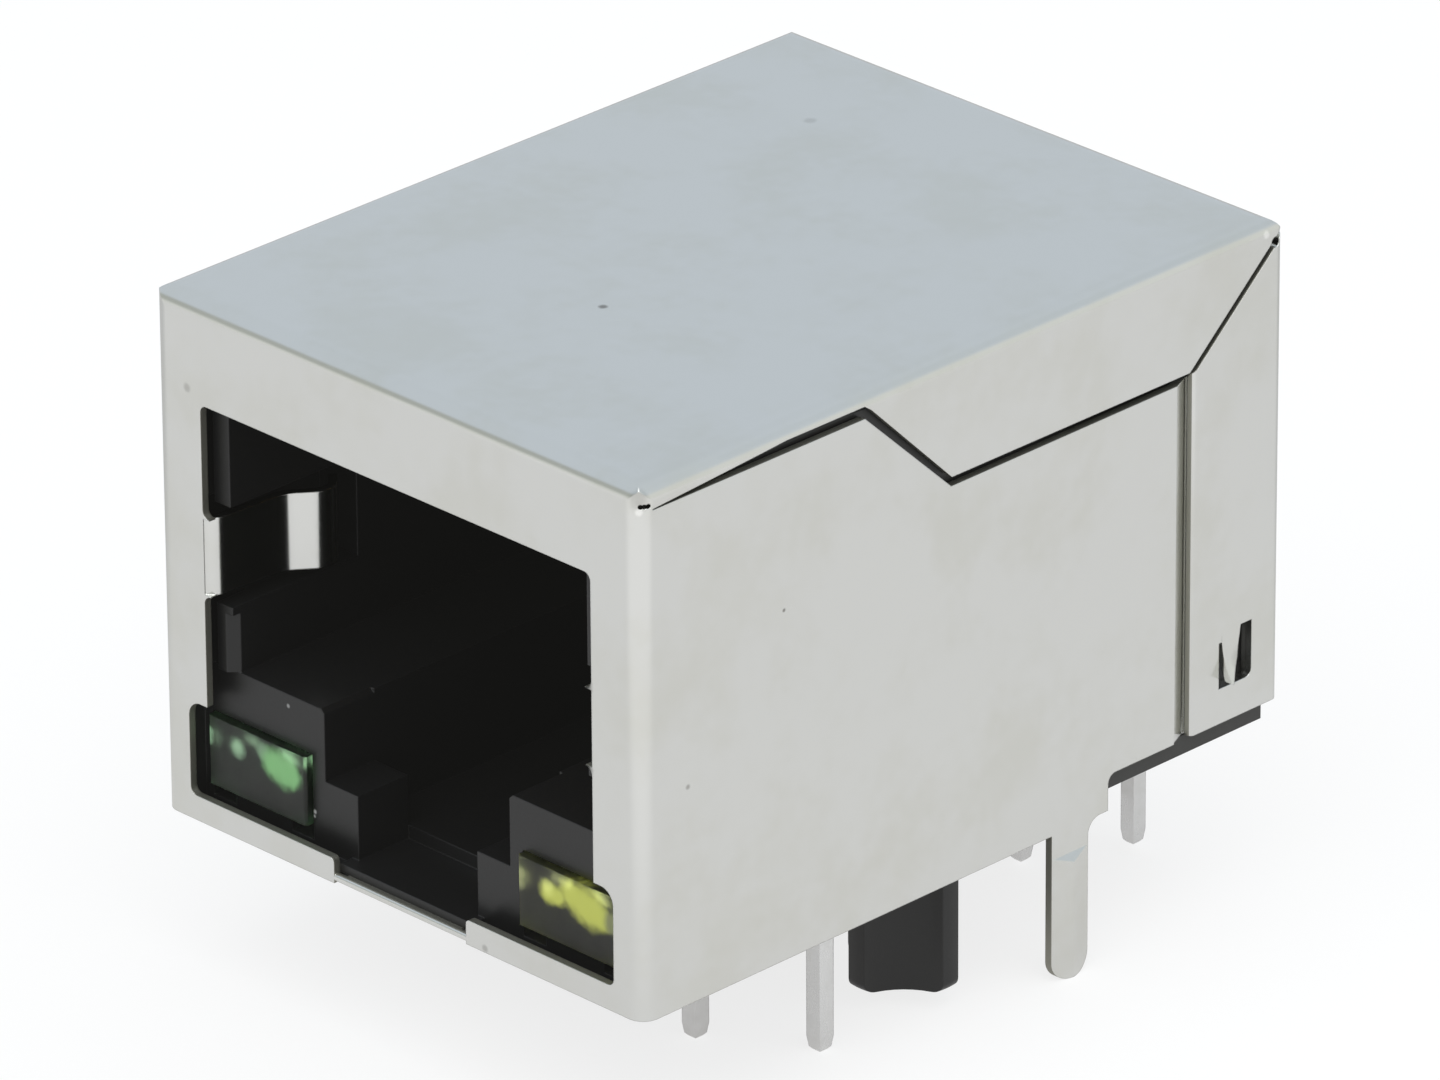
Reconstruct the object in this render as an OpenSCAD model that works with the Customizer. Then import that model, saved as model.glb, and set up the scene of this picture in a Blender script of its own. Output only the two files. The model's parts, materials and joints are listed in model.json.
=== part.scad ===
// Shielded modular board jack with built-in coupling transformers and two
// indicator lamps. The plug goes in along +Y with its latch down, +Z is up and
// the board's top surface is the plane z = 0. The origin is on that plane, midway
// between the two locating pegs. Depths are measured from the outer front face,
// and from_front() moves each piece to its place. All sizes are in millimetres.

/* [Shell] */
// Overall width of the folded shell
shell_w = 16.0; // [15.8:0.05:16.4]
// Overall depth, front face to rear panel
shell_d = 21.1; // [21.0:0.05:21.6]
// Height of the shell above the board
shell_h = 13.45; // [13.4:0.05:13.8]
// Sheet thickness
sheet_t = 0.2; // [0.15:0.01:0.22]
// Outer radius of the folds round the front face and along the sides
fold_r = 0.46; // [0.4:0.01:0.5]
// Outer radius of the fold between the top and the rear panel
rear_top_r = 0.7; // [0.5:0.05:0.9]
// Outer radius of the fold between the rear panel and its flaps
rear_flap_r = 0.25; // [0.22:0.01:0.4]
// Height of the raised lower edge behind the solder tabs
rear_clear = 0.93; // [0.8:0.01:1.0]

/* [Front opening] */
// Half width of the plug opening
open_half_w = 6.42; // [6.3:0.01:6.5]
// Height of the upper edge of the opening
open_top = 10.85; // [10.7:0.01:10.95]
// Half width across the lamp windows
lamp_half_w = 7.05; // [6.98:0.01:7.1]
// Height of the upper edge of the lamp windows
lamp_top = 3.08; // [2.9:0.01:3.2]
// Height of the two lower bars
bar_h = 0.64; // [0.55:0.01:0.7]
// Half width of the gap between the lower bars
bar_gap_half = 2.2; // [2.1:0.01:2.3]

/* [Plug cavity] */
// Half width of the cavity that takes the plug
cavity_half_w = 5.9; // [5.85:0.01:5.95]
// Height of the ledges that carry the plug
ledge_z = 3.95; // [3.9:0.01:4.0]
// Height of the ceiling above the plug
ceiling_z = 10.75; // [10.7:0.01:10.8]
// Half width of the upper latch slot
latch_half_w = 3.08; // [3.05:0.01:3.12]
// Half width of the lower latch slot
latch_nose_half_w = 1.99; // [1.95:0.01:2.05]
// Height of the step between the two latch slots
latch_step_z = 2.1; // [2.0:0.01:2.2]

/* [Contacts] */
// Pitch of the spring contacts
contact_pitch = 1.02; // [1.0:0.01:1.04]
// Width of a spring contact
contact_w = 0.4; // [0.35:0.01:0.42]
// Thickness of a spring contact
contact_t = 0.3; // [0.25:0.01:0.32]
// Angle at which a contact slopes down into the cavity
contact_angle = 24; // [22:0.5:26]

/* [Board side] */
// Reach of solder tabs and lamp leads below the board surface
tab_reach = 3.85; // [3.4:0.05:4.0]
// Reach of the signal pins below the board surface
pin_reach = 3.72; // [3.4:0.01:4.0]
// Width of a square signal pin
pin_w = 0.42; // [0.4:0.01:0.5]
// Pitch of the signal pins across the jack
pin_pitch = 1.27; // [1.25:0.01:1.3]
// Distance of the front row of signal pins from the front face
pin_row_y = 17.35; // [17.3:0.01:17.4]
// Distance between the two rows of signal pins
pin_row_gap = 2.54; // [2.5:0.01:2.56]
// Half the distance between the two locating pegs
peg_half_x = 5.715; // [5.6:0.005:5.8]
// Distance of the pegs from the front face
peg_y = 10.75; // [10.5:0.05:11]
// Diameter over the ribs of a locating peg
peg_d = 3.15; // [3.0:0.01:3.2]
// Length of a locating peg below the board surface
peg_reach = 3.35; // [3.0:0.05:3.4]
// Distance of the middle of a solder tab from the front face
tab_y = 13.99; // [13.9:0.01:14.1]
// Width of a solder tab
tab_w = 1.22; // [1.1:0.01:1.3]

/* [Lamps] */
// Half the distance between the two lamp centres
lamp_half_x = 5.18; // [5.15:0.01:5.2]
// Width of a lamp body
lamp_w = 3.3; // [3.2:0.01:3.35]
// Height of a lamp body
lamp_h = 1.78; // [1.7:0.01:1.95]
// Height of the underside of a lamp body
lamp_z = 0.86; // [0.8:0.01:0.9]
// Width of a square lamp lead
lead_w = 0.45; // [0.4:0.01:0.5]

/* [Hidden] */
$fn = 48;

half_w = shell_w / 2;                   // outer face of a side wall
inner_w = half_w - sheet_t;             // inner face of a side wall
inner_h = shell_h - sheet_t;            // underside of the top panel
cut = 1;                                // how far a cutter runs past a face

// Seam between the top flange and the side wall, and the rear flap
seam_low = 12.8;                        // upper edge of the wall, front stretch
seam_drop_y = 7.2;                      // where the seam turns down
flange_y = 10.02;                       // where it meets the flange's lower edge
flange_z = 10.4;                        // lower edge of the flange
joggle_y = 17.5;                        // where the wall starts to step inward
joggle_len = 0.5;
flap_y = 18.06;                         // front edge of the rear flap
flap_slope = 0.88;                      // rise of the rear slit over its run
flap_edge_r = 0.15;                     // rolled outer edge of the flap
inner_wall_x = half_w - sheet_t - 0.02; // outer face of the wall under the flap
inner_wall_end = 20.35;
step_y = 15.27;                         // front end of the raised lower edge

// Ground fingers: a flat, a hollow bend, a ramp, the contact bow and a tail
finger_low = 5.98;
finger_high = 7.96;
finger_x = 6.15;                        // face of the finger at its root
finger_bend_y = 2.02;                   // where the flat ends
finger_lean = 3.5;                      // angles are from the way the plug goes in
finger_ramp = 38;
finger_tail = -50;
finger_bend_r = 0.8;
finger_bow_r = 0.5;
finger_ramp_len = 0.48;
finger_tail_len = 0.35;
root_r = 0.22;
finger_pocket_y = 4.4;                  // end of the housing's pocket for it

// Hold-down tab under the housing
hold_w = 3.8;
hold_len = 2.6;
hold_z = 0.035;

// Relief hole where the three folds of a front corner meet
relief_r = 0.06;
relief_inset = 0.065;
relief_back = 0.235;
relief_z = seam_low + 0.13;

// Solder tab
crease_rise = 0.15;                     // how far the crease stands out
crease_top = 0.62;                      // depth at which the crease begins
tab_round = 0.5;
tab_neck_r = 0.4;

// Lock window and tongue
lock_y0 = 19.02;
lock_y1 = 20.14;
lock_z0 = 1.84;
lock_z1 = 3.3;
lock_hinge_z = 3.04;                    // where the slot beside the hinge starts
lock_lean = 0.32;                       // how far the tip stands out

// Housing
body_half_w = half_w - sheet_t - 0.05;
body_top = inner_h - 0.05;
body_front = sheet_t;
rim_y = 0.4;                            // front rim beside the cavity
rim_half_w = 6.43;                      // outer edge of that rim
rim_gap_y = 1.3;                        // depth of the groove outside it
rim_chamfer = 0.25;                     // lead-in below the fingers
slot_chamfer = 0.12;                    // broken upper edges of the latch slot
lamp_face_y = 0.6;                      // front face round the lamps
catch_y = 2.2;                          // back of the wall that the latch catches on
catch_rise = 0.35;
core_pocket = [[1.2, 8.6], [3.4, 12.6]];
core_pocket_h = 0.45;
cavity_end = 12.2;
chamber_y = 14.0;                       // front wall of the rear chamber
chamber_half_w = 6.75;
chamber_top = 12.3;
rear_half_w = inner_wall_x - sheet_t - 0.03;
body_end = 20.75;
floor_z = 0.45;                         // floor of the lower latch slot

// Contacts and their carrier
contact_run_z = 11.3;
hook_y = 6.2;
hook_z = 10.75;
hook_r = contact_run_z - hook_z;
contact_leg = 7.2;
contact_tail_y = [14.45, 15.05];
contact_tail_z = 8.9;
carrier_half_w = 5.6;
carrier_front = 4.95;
carrier_end = 15.65;
carrier_top = 12.2;
carrier_low = 10.9;
comb_low = 6.4;
comb_end = 13.9;
slot_w = 0.48;

// Pin base, board and coils
base_z = 0.4;
base_top = 2.0;
board_z = 9.6;
board_t = 0.8;
board_half_w = 6.6;
board_y0 = 14.05;
board_y1 = 20.55;
tray_y0 = 15.4;
tray_y1 = 16.9;
tray_half_w = 6.5;
pocket = 3.36;                          // height of a coil pocket
pocket_w = 5.4;
pocket_wall = (board_z - base_top - 2 * pocket) / 3;
coil_x = 3.1;
coil_y = 16.12;
coil_r = 1.1;                           // middle radius of a core
core_r = 0.4;                           // radius of a core's section
winding_r = 0.55;                       // radius of a wound section
wire_d = 0.16;
wire_elbow_d = 0.22;
wire_hole_d = 0.3;
wire_reach = [2.45, 1.95];              // how far the wires stand off, lower and upper level
chip_x = 5.75;
chip_y = 16.6;
chip_step = 2.3;
chip = [0.8, 1.6, 0.45];
capacitor = [4.6, 1.9, 1.3];
lamp_back = 4.3;
lamp_play = 0.03;                       // room round a lamp body
lamp_rest_w = 0.7;                      // open width at each end of its rest
lamp_rest_h = 0.4;
lamp_front = lamp_face_y - 0.215;
lead_bend_z = 1.7;
lead_outer_y = 7.25;
lead_inner_y = 5.7;
lead_half_gap = 1.27;

// ---- Helpers -------------------------------------------------------------

// Moves a piece that is drawn from the front face to the part's own origin
module from_front() { translate([0, -peg_y, 0]) children(); }

// Extrudes an XZ outline from y0 to y1
module on_front(y0, y1) {
    translate([0, y1, 0]) rotate([90, 0, 0]) linear_extrude(y1 - y0) children();
}

// Extrudes a YZ outline from x0 to x1
module on_side(x0, x1) {
    translate([x0, 0, 0]) rotate([90, 0, 90]) linear_extrude(x1 - x0) children();
}

// Extrudes an XY outline from z0 to z1
module on_plan(z0, z1) { translate([0, 0, z0]) linear_extrude(z1 - z0) children(); }

// A block given by its two opposite corners
module block(a, b) { translate(a) cube(b - a); }

module both_sides() { children(); mirror([1, 0, 0]) children(); }

// A rectangle with all four corners rounded
module rounded(a, b, r) {
    translate([a[0] + r, a[1]]) square([b[0] - a[0] - 2 * r, b[1] - a[1]]);
    translate([a[0], a[1] + r]) square([b[0] - a[0], b[1] - a[1] - 2 * r]);
    for (x = [a[0] + r, b[0] - r], y = [a[1] + r, b[1] - r]) translate([x, y]) circle(r);
}

// A band of width w along a list of points, with round joints
module band(points, w) {
    for (i = [0 : len(points) - 2]) {
        run = points[i + 1] - points[i];
        translate(points[i]) rotate(atan2(run[1], run[0])) translate([0, -w / 2]) square([norm(run), w]);
        if (i > 0) translate(points[i]) circle(w / 2);
    }
}

// The part of a ring from angle a0 to angle a1, less than half a turn apart
module ring_sector(r_in, r_out, a0, a1) {
    reach = 3 * r_out;
    intersection() {
        difference() { circle(r_out); circle(r_in); }
        polygon([[0, 0], reach * [cos(a0), sin(a0)],
                 reach * [cos((a0 + a1) / 2), sin((a0 + a1) / 2)], reach * [cos(a1), sin(a1)]]);
    }
}

// ---- Shield --------------------------------------------------------------

// The block that the shell encloses, moved in by `depth` on every face
module shell_block(depth) {
    r = fold_r - depth;
    low = -2;
    side = half_w - depth;
    top = shell_h - depth;
    rear = shell_d - depth;
    intersection() {
        on_plan(low, top) rounded([-side, depth], [side, shell_d + cut], r);
        on_plan(low, top) rounded([-side, -cut], [side, rear], rear_flap_r - depth);
        on_side(-half_w, half_w) rounded([depth, low - cut], [shell_d + cut, top], r);
        on_side(-half_w, half_w) rounded([-cut, low - cut], [rear, top], rear_top_r - depth);
        on_front(0, shell_d) rounded([-side, low - cut], [side, top], r);
    }
}

// Rounding where the edge of the opening meets a ground finger
module root_fillet() {
    difference() {
        translate([0, -0.02]) square([root_r + 0.01, root_r + 0.02]);
        translate([0, root_r]) circle(root_r);
    }
}

// Upper outline of the opening, the lamp windows and the gap between the bars
module front_outline() {
    round_r = 0.2;
    difference() {
        rounded([-open_half_w, latch_step_z], [open_half_w, open_top], round_r);
        both_sides() {
            translate([open_half_w - root_r, finger_high]) root_fillet();
            translate([open_half_w - root_r, finger_low]) mirror([0, 1]) root_fillet();
        }
    }
    intersection() {
        rounded([-lamp_half_w, bar_h], [lamp_half_w, lamp_top + cut], round_r);
        rounded([-lamp_half_w, bar_h - cut], [lamp_half_w, lamp_top], 2 * round_r);
    }
    translate([-bar_gap_half, -cut]) square([2 * bar_gap_half, 2 * bar_h + cut]);
    // the bars' ends are rounded towards the gap
    both_sides() translate([bar_gap_half, bar_h]) difference() {
        square(2 * 0.12, center = true);
        translate([0.12, -0.12]) circle(0.12);
    }
}

// The gap between flange, side wall and rear flap
module seam_outline() {
    slit = 0.21;
    lead = 0.13;
    rear = shell_d + 0.3;
    rise = flap_slope * (rear - flap_y + lead);
    polygon([[0.44, seam_low + 0.03], [4.7, seam_low + 0.3], [seam_drop_y, seam_low + 0.3],
             [seam_drop_y + 0.2, seam_low + 0.16], [flange_y, flange_z], [flap_y - lead, flange_z],
             [rear, flange_z + rise], [rear, flange_z + rise - slit],
             [flap_y, flange_z + flap_slope * lead - slit], [flap_y, -cut], [joggle_y, -cut],
             [joggle_y, flange_z - 0.2], [flange_y - 0.02, flange_z - 0.23],
             [seam_drop_y, seam_low], [0.44, seam_low]]);
}

// Everything below the raised rear edge
module rear_edge_outline() {
    rounded([step_y, -3], [shell_d + 3, rear_clear], 0.25);
}

// The stepped wall that runs in under the rear flap
module joggled_wall() {
    ramp_end = joggle_y + joggle_len;
    x0 = half_w;
    x1 = inner_wall_x;
    room = 0.08;
    difference() {
        on_plan(rear_clear + 0.04, flange_z - 0.2)
            polygon([[x0, joggle_y - 0.1], [x0, joggle_y], [x1, ramp_end], [x1, inner_wall_end],
                     [x1 - sheet_t, inner_wall_end], [x1 - sheet_t, ramp_end - 0.06],
                     [x0 - sheet_t, joggle_y - 0.06], [x0 - sheet_t, joggle_y - 0.1]]);
        // window behind the lock tongue
        block([x1 - cut, lock_y0 - room, lock_z0 - room], [x0, lock_y1 + room, lock_z1 + room]);
    }
}

// Unit vector at right angles to a finger that leans by `angle`
function across(angle) = [cos(angle), sin(angle)];
function along(angle) = [-sin(angle), cos(angle)];

// A spring finger folded in from the front face, drawn along its middle line
module ground_finger() {
    mid = sheet_t / 2;
    root = [finger_x + mid, fold_r];
    flat_end = root + (finger_bend_y - fold_r) / cos(finger_lean) * along(finger_lean);
    bend = flat_end - finger_bend_r * across(finger_lean);
    ramp_start = bend + finger_bend_r * across(finger_ramp);
    ramp_end = ramp_start + finger_ramp_len * along(finger_ramp);
    bow = ramp_end + finger_bow_r * across(finger_ramp);
    tail = bow - finger_bow_r * across(finger_tail);
    on_plan(finger_low, finger_high) {
        translate([finger_x + fold_r, fold_r]) ring_sector(fold_r - sheet_t, fold_r, 180, 270);
        band([root, flat_end], sheet_t);
        band([ramp_start, ramp_end], sheet_t);
        band([tail, tail + finger_tail_len * along(finger_tail)], sheet_t);
        translate(bend) ring_sector(finger_bend_r - mid, finger_bend_r + mid, finger_lean, finger_ramp);
        translate(bow)
            ring_sector(finger_bow_r - mid, finger_bow_r + mid, 180 + finger_tail, 180 + finger_ramp);
        for (joint = [root, flat_end, ramp_start, ramp_end, tail]) translate(joint) circle(mid);
    }
}

module tab_outline() {
    translate([tab_y - tab_w / 2, -tab_reach + tab_round]) square([tab_w, tab_reach + 0.3 - tab_round]);
    rounded([tab_y - tab_w / 2, -tab_reach], [tab_y + tab_w / 2, -tab_reach + 3 * tab_round], tab_round);
    // fillet into the wall's lower edge
    difference() {
        translate([tab_y + tab_w / 2 - 0.1, -tab_neck_r]) square([tab_neck_r + 0.1, tab_neck_r + 0.1]);
        translate([tab_y + tab_w / 2 + tab_neck_r, -tab_neck_r]) circle(tab_neck_r);
    }
}

// A solder tab, stiffened by a lengthwise crease below its root
module solder_tab() {
    y0 = tab_y - tab_w / 2;
    y1 = tab_y + tab_w / 2;
    on_side(inner_w, half_w) difference() {
        tab_outline();
        translate([0, -tab_reach - cut]) square([shell_d, tab_reach - crease_top + cut]);
    }
    intersection() {
        on_side(inner_w - cut, half_w + cut) tab_outline();
        difference() {
            on_plan(-tab_reach, -crease_top)
                polygon([[half_w, y0], [half_w + crease_rise, tab_y], [half_w, y1],
                         [inner_w, y1], [inner_w + crease_rise, tab_y], [inner_w, y0]]);
            translate([half_w, 0, -crease_top]) rotate([0, 55, 0]) block([-cut, 0, 0], [cut, shell_d, cut]);
        }
    }
}

// Outline of the window round the lock tongue
module lock_outline() {
    r = 0.2;
    difference() {
        rounded([lock_y0, lock_z0], [lock_y1, lock_z1], r);
        // the hinge and the tongue's straight front edge
        translate([lock_y0 - cut, lock_hinge_z]) square([cut + 0.1, cut]);
    }
    translate([lock_y0, lock_z0]) square(r);
    translate([lock_y1 - r, lock_z1 - r]) square(r);
}

// A tongue lanced from the rear flap, tapering to a tip that is bent out
module lock_tongue() {
    mid = half_w - sheet_t / 2;
    root = lock_z1 + 0.05;
    tip = lock_z0 + 0.18;
    drop = root - tip;
    front = lock_y0 + 0.09;
    bend_r = drop * drop / (2 * lock_lean);
    intersection() {
        on_side(inner_w - cut, half_w + cut)
            polygon([[front, root], [front + 0.66, root], [front + 0.6, root - 0.2 * drop],
                     [front + 0.42, root - 0.58 * drop], [front + 0.19, root - 0.86 * drop],
                     [front + 0.07, tip], [front, tip + 0.04]]);
        // bent on a wide arc that starts level with the flap
        on_front(lock_y0 - cut, lock_y1 + cut) translate([mid + bend_r, root])
            ring_sector(bend_r - sheet_t / 2, bend_r + sheet_t / 2, 170, 215);
    }
}

module shield() {
    color([0.78, 0.79, 0.78]) from_front() {
        difference() {
            shell_block(0);
            shell_block(sheet_t);
            block([-shell_w, -cut, -4], [shell_w, shell_d + cut, 0]);
            on_front(-cut, sheet_t + 0.01) front_outline();
            both_sides() {
                on_side(half_w - 0.55, half_w + cut) seam_outline();
                on_side(half_w - 0.5, half_w + cut) lock_outline();
                // rolled front edge of the rear flap
                on_plan(-cut, flange_z) difference() {
                    translate([half_w - flap_edge_r, flap_y - sheet_t]) square([cut, sheet_t + flap_edge_r]);
                    translate([half_w - flap_edge_r, flap_y + flap_edge_r]) circle(flap_edge_r);
                }
                // relief where the slit runs out at the rear corner
                on_side(half_w - 0.35, half_w + cut)
                    translate([shell_d - 0.3, flange_z + flap_slope * (shell_d - flap_y - 0.3)]) circle(0.14);
                // relief hole where the three folds meet
                for (step = [-relief_r, 0, relief_r])
                    translate([half_w - relief_inset + step, relief_back + step, relief_z])
                        rotate([90, 0, 45]) cylinder(h = 2 * cut, r = relief_r, center = true);
            }
            on_side(-shell_w, shell_w) rear_edge_outline();
        }
        both_sides() {
            joggled_wall();
            ground_finger();
            solder_tab();
            lock_tongue();
        }
        // hold-down tab, folded back under the housing
        on_side(-hold_w / 2, hold_w / 2) rounded([0, hold_z], [hold_len, hold_z + sheet_t], 0.09);
        on_side(-bar_gap_half - 0.05, bar_gap_half + 0.05)
            rounded([0, hold_z], [sheet_t, hold_z + sheet_t], 0.09);
    }
}

// ---- Housing -------------------------------------------------------------

// A locating peg with four flutes between its ribs
module peg() {
    tip_r = 0.28;
    flute_r = 1.64;
    flute_mid = 1.0 + flute_r;
    translate([peg_half_x, peg_y, -peg_reach]) difference() {
        cylinder(h = peg_reach + 0.3, d = peg_d);
        for (a = [45 : 90 : 315])
            rotate(a) translate([flute_mid, 0, -cut]) cylinder(h = peg_reach + cut, r = flute_r);
        // rounded tip
        rotate_extrude() difference() {
            translate([peg_d / 2 - tip_r, -cut]) square([cut, cut + tip_r]);
            translate([peg_d / 2 - tip_r, tip_r]) circle(tip_r);
        }
    }
}

// The space behind the front opening: plug cavity, latch slots and front rim
module plug_space() {
    eps = 0.01;
    // rim and lamp face set back from the shell's front
    block([-lamp_half_w + 0.3, body_front - eps, ledge_z - eps], [lamp_half_w - 0.3, rim_y, open_top + 0.3]);
    both_sides() {
        block([rim_half_w, body_front, ledge_z - eps], [lamp_half_w - 0.3, rim_gap_y, open_top + 0.3]);
        on_plan(ledge_z, finger_low - 0.5)
            polygon([[cavity_half_w - eps, rim_y - eps], [cavity_half_w + rim_chamfer, rim_y - eps],
                     [cavity_half_w - eps, rim_y + rim_chamfer]]);
        on_front(0, catch_y)
            polygon([[latch_half_w - eps, ledge_z + eps], [latch_half_w + slot_chamfer, ledge_z + eps],
                     [latch_half_w - eps, ledge_z - slot_chamfer]]);
    }
    block([-lamp_half_w - 0.1, body_front - eps, floor_z], [lamp_half_w + 0.1, lamp_face_y, ledge_z]);
    both_sides()
        block([bar_gap_half, body_front - eps, 0.3], [lamp_half_w + 0.1, lamp_face_y, floor_z + eps]);
    block([-cavity_half_w, 0, ledge_z], [cavity_half_w, cavity_end, ceiling_z]);
    block([-latch_half_w, 0, latch_step_z], [latch_half_w, cavity_end - 1.2, ledge_z + eps]);
    block([-latch_nose_half_w, 0, floor_z], [latch_nose_half_w, catch_y, latch_step_z + eps]);
    // the latch catches behind the front wall
    block([-latch_half_w, catch_y - eps, floor_z + catch_rise],
          [latch_half_w, cavity_end - 3, latch_step_z + eps]);
}

// Room for a ground finger beside the cavity
module finger_space() {
    block([cavity_half_w - 0.1, 0, finger_low - 0.3], [finger_x + 1, finger_pocket_y, finger_high + 0.3]);
}

// Pocket of a lamp and the grooves of its two leads
module lamp_space() {
    x0 = lamp_half_x - lamp_w / 2;
    x1 = lamp_half_x + lamp_w / 2;
    low = lamp_z - lamp_rest_h;
    block([x0 - lamp_play, 0, lamp_z], [x1 + 2 * lamp_play, lamp_back, lamp_z + lamp_h + lamp_play]);
    // clearance below the lamp on both sides of its rest
    block([x0 - lamp_play, 0, low], [x0 + lamp_rest_w, lamp_back, lamp_z + 0.01]);
    block([x1 - lamp_rest_w, 0, low], [x1 + 2 * lamp_play, lamp_back, lamp_z + 0.01]);
    lead_space(lamp_half_x - lead_half_gap, lead_inner_y);
    lead_space(lamp_half_x + lead_half_gap, lead_outer_y);
}

module lead_space(x, y) {
    w = lead_w / 2;
    block([x - w, lamp_back - cut, -cut], [x + w, y + w, lead_bend_z + w]);
}

module housing() {
    eps = 0.01;
    color([0.16, 0.16, 0.17]) from_front() difference() {
        union() {
            // front body, with its edges clear of the shell's folds
            intersection() {
                block([-body_half_w, body_front, 0], [body_half_w, chamber_y, body_top]);
                on_plan(-cut, shell_h)
                    polygon([[-body_half_w, body_front + 0.3], [-body_half_w + 0.3, body_front],
                             [body_half_w - 0.3, body_front], [body_half_w, body_front + 0.3],
                             [body_half_w, chamber_y], [-body_half_w, chamber_y]]);
                on_front(-cut, shell_d) polygon([[-body_half_w, -cut], [body_half_w, -cut],
                    [body_half_w, body_top - 0.3], [body_half_w - 0.3, body_top],
                    [-body_half_w + 0.3, body_top], [-body_half_w, body_top - 0.3]]);
                on_side(-half_w, half_w) polygon([[body_front, -cut], [shell_d, -cut], [shell_d, body_top],
                    [body_front + 0.3, body_top], [body_front, body_top - 0.3]]);
            }
            // side walls and roof of the rear chamber
            both_sides()
                block([chamber_half_w, chamber_y - eps, base_top], [rear_half_w, body_end, body_top - 0.35]);
            block([-rear_half_w, chamber_y - eps, chamber_top], [rear_half_w, body_end, body_top - 0.35]);
            both_sides() peg();
        }
        plug_space();
        both_sides() { finger_space(); lamp_space(); }
        // slot for the contact carrier and window for its comb
        block([-carrier_half_w, carrier_front, ceiling_z - eps],
              [carrier_half_w, chamber_y + cut, carrier_top]);
        block([-carrier_half_w, cavity_end - eps, comb_low],
              [carrier_half_w, chamber_y + cut, carrier_top]);
        // seat of the hold-down tab
        block([-hold_w / 2 - 0.1, -cut, -cut], [hold_w / 2 + 0.1, hold_len + 0.1, hold_z + sheet_t]);
        block([-bar_gap_half - 0.1, -cut, -cut], [bar_gap_half + 0.1, body_front + 0.1, hold_z + sheet_t]);
        // core pockets in the underside
        both_sides() block([each core_pocket[0], -cut], [each core_pocket[1], core_pocket_h]);
    }
}

// ---- Contacts ------------------------------------------------------------

function contact_x(i) = (i - 4.5) * contact_pitch;
function tail_y(i) = contact_tail_y[i % 2];

module contact_carrier() {
    color([0.13, 0.13, 0.14]) from_front() difference() {
        union() {
            block([-carrier_half_w, carrier_front, carrier_low], [carrier_half_w, carrier_end, carrier_top]);
            block([-carrier_half_w, cavity_end, comb_low], [carrier_half_w, comb_end, carrier_low + 0.1]);
        }
        for (i = [1 : 8]) {
            x = contact_x(i);
            // groove of the straight run, closed above by the plate
            block([x - slot_w / 2, 0, carrier_low - cut],
                  [x + slot_w / 2, tail_y(i) + contact_t / 2, contact_run_z + contact_t / 2]);
            // comb slot that guides the free end
            block([x - slot_w / 2, cavity_end - cut, comb_low + 0.5],
                  [x + slot_w / 2, comb_end - 0.7, carrier_low + 0.2]);
        }
    }
}

// A formed spring contact: tail, run under the plate, hook and sloping leg
module contact(i) {
    exit = 270 - contact_angle;
    knee = [hook_y, hook_z] + hook_r * [cos(exit), sin(exit)];
    x0 = contact_x(i) - contact_w / 2;
    color([0.83, 0.68, 0.35]) from_front() on_side(x0, x0 + contact_w) {
        band([[tail_y(i), contact_tail_z], [tail_y(i), contact_run_z], [hook_y - 0.02, contact_run_z]],
             contact_t);
        translate([hook_y, hook_z]) ring_sector(hook_r - contact_t / 2, hook_r + contact_t / 2, 90, exit);
        translate(knee) circle(contact_t / 2);
        band([knee, knee + contact_leg * [cos(contact_angle), -sin(contact_angle)]], contact_t);
    }
}

// ---- Board side ----------------------------------------------------------

function pin_x(i) = (i - 4.5) * pin_pitch;
function pin_y(i) = pin_row_y + (i % 2 == 0 ? pin_row_gap : 0);

// A square pin from z0 to z1 with a bevelled lower end
module square_pin(w, z0, z1) {
    half = w / 2;
    side = [[-half, z1], [-half, z0 + 0.35], [0.04 - half, z0 + 0.07], [0.1 - half, z0],
            [half - 0.1, z0], [half - 0.04, z0 + 0.07], [half, z0 + 0.35], [half, z1]];
    intersection() {
        on_front(-w / 2, w / 2) polygon(side);
        on_side(-w / 2, w / 2) polygon(side);
    }
}

module signal_pin(i) {
    stands = 0.5;
    color([0.8, 0.8, 0.78]) from_front() translate([pin_x(i), pin_y(i), 0])
        square_pin(pin_w, -pin_reach, board_z + board_t + stands);
}

module pin_base() {
    color([0.2, 0.2, 0.2]) from_front() difference() {
        union() {
            block([-body_half_w, chamber_y, base_z], [body_half_w, body_end, rear_clear - 0.02]);
            block([-rear_half_w, chamber_y, base_z], [rear_half_w, body_end, base_top]);
        }
        for (i = [1 : 8])
            translate([pin_x(i) - pin_w / 2, pin_y(i) - pin_w / 2, 0]) cube([pin_w, pin_w, shell_h]);
        // clearance for the housing's side walls at the front corners
        both_sides() block([inner_w - 0.2, chamber_y - cut, -cut], [shell_w, step_y + 0.1, base_top + cut]);
    }
}

module inner_board() {
    color([0.1, 0.32, 0.2]) from_front() difference() {
        block([-board_half_w, board_y0, board_z], [board_half_w, board_y1, board_z + board_t]);
        for (i = [1 : 8]) {
            translate([pin_x(i), pin_y(i), board_z - cut]) cylinder(h = board_t + 2 * cut, d = 0.75);
            translate([contact_x(i), tail_y(i), board_z - cut]) cylinder(h = board_t + 2 * cut, d = 0.56);
        }
    }
}

// ---- Coils ---------------------------------------------------------------

function coil_side(i) = i % 2 == 0 ? 1 : -1;
function coil_level(i) = i > 2 ? 1 : 0;
function coil_z(i) = base_top + pocket_wall + pocket / 2 + coil_level(i) * (pocket + pocket_wall);

// The two wires of a coil leave it at these distances from the tray's middle
function wire_x(i, end) = coil_x + (2 * end - 1) * wire_reach[coil_level(i)];

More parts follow.
